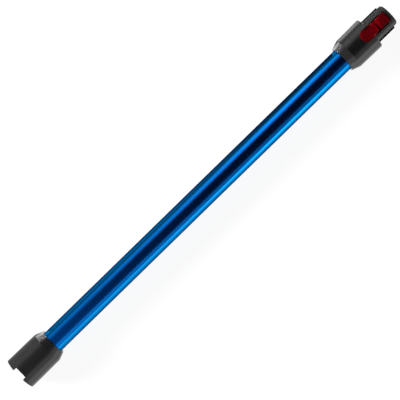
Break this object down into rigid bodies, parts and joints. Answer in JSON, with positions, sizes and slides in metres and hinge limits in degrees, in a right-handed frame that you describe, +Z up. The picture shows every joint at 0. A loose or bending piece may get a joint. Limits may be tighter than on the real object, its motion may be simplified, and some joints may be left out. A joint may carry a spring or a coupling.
{
  "type": "vacuum extension wand",
  "caption": "Straight quick-release vacuum wand: a round tube with a wiring keel, a socket collar at one end and a spigot with a sprung latch lever at the other.",
  "frame": {"origin": "middle of the wand's length and width, on the surface that it lies on", "axes": "+X along the airway from the socket's mouth to the spigot's tip, +Y to the wand's left, +Z up through the release lever"},
  "size_m": [0.735, 0.0516, 0.0527],
  "materials": {
    "anodised_tube": "bright blue anodised, drawn along its length",
    "collar_plastic": "fine spark-eroded moulding texture",
    "duct_plastic": "plain moulded",
    "lever_plastic": "moulded, satin gloss",
    "steel": "drawn wire",
    "insulator": "plain moulded",
    "contact_brass": "plated, bright",
    "seal_rubber": "moulded",
    "red_insulation": "extruded",
    "black_insulation": "extruded"
  },
  "bodies": {
    "wand": {"wand_tube": "anodised_tube", "upper_collar": "collar_plastic", "spigot_duct": "duct_plastic", "spigot_cover": "collar_plastic", "lever_pin": "steel", "lever_spring": "steel", "pin_carrier": "insulator", "contact_pin_left": "contact_brass", "contact_pin_right": "contact_brass", "upper_tube_seal": "seal_rubber", "positive_wire": "red_insulation", "negative_wire": "black_insulation", "lower_collar": "collar_plastic", "socket_duct": "duct_plastic", "lower_tube_seal": "seal_rubber", "socket_seal": "seal_rubber", "contact_tongue": "insulator", "contact_sleeve_left": "contact_brass", "contact_sleeve_right": "contact_brass"},
    "lever": {"release_lever": "lever_plastic"}
  },
  "joints": [
    {"name": "lever_press", "type": "hinge", "parent": "wand", "child": "lever", "pos_m": [0.358, 0, 0.0444], "axis": [0, -1, 0], "range_deg": [0, 5], "stiffness_Nm_per_rad": 1.5, "springref_deg": -5.73, "deforming": ["lever_spring"]}
  ]
}
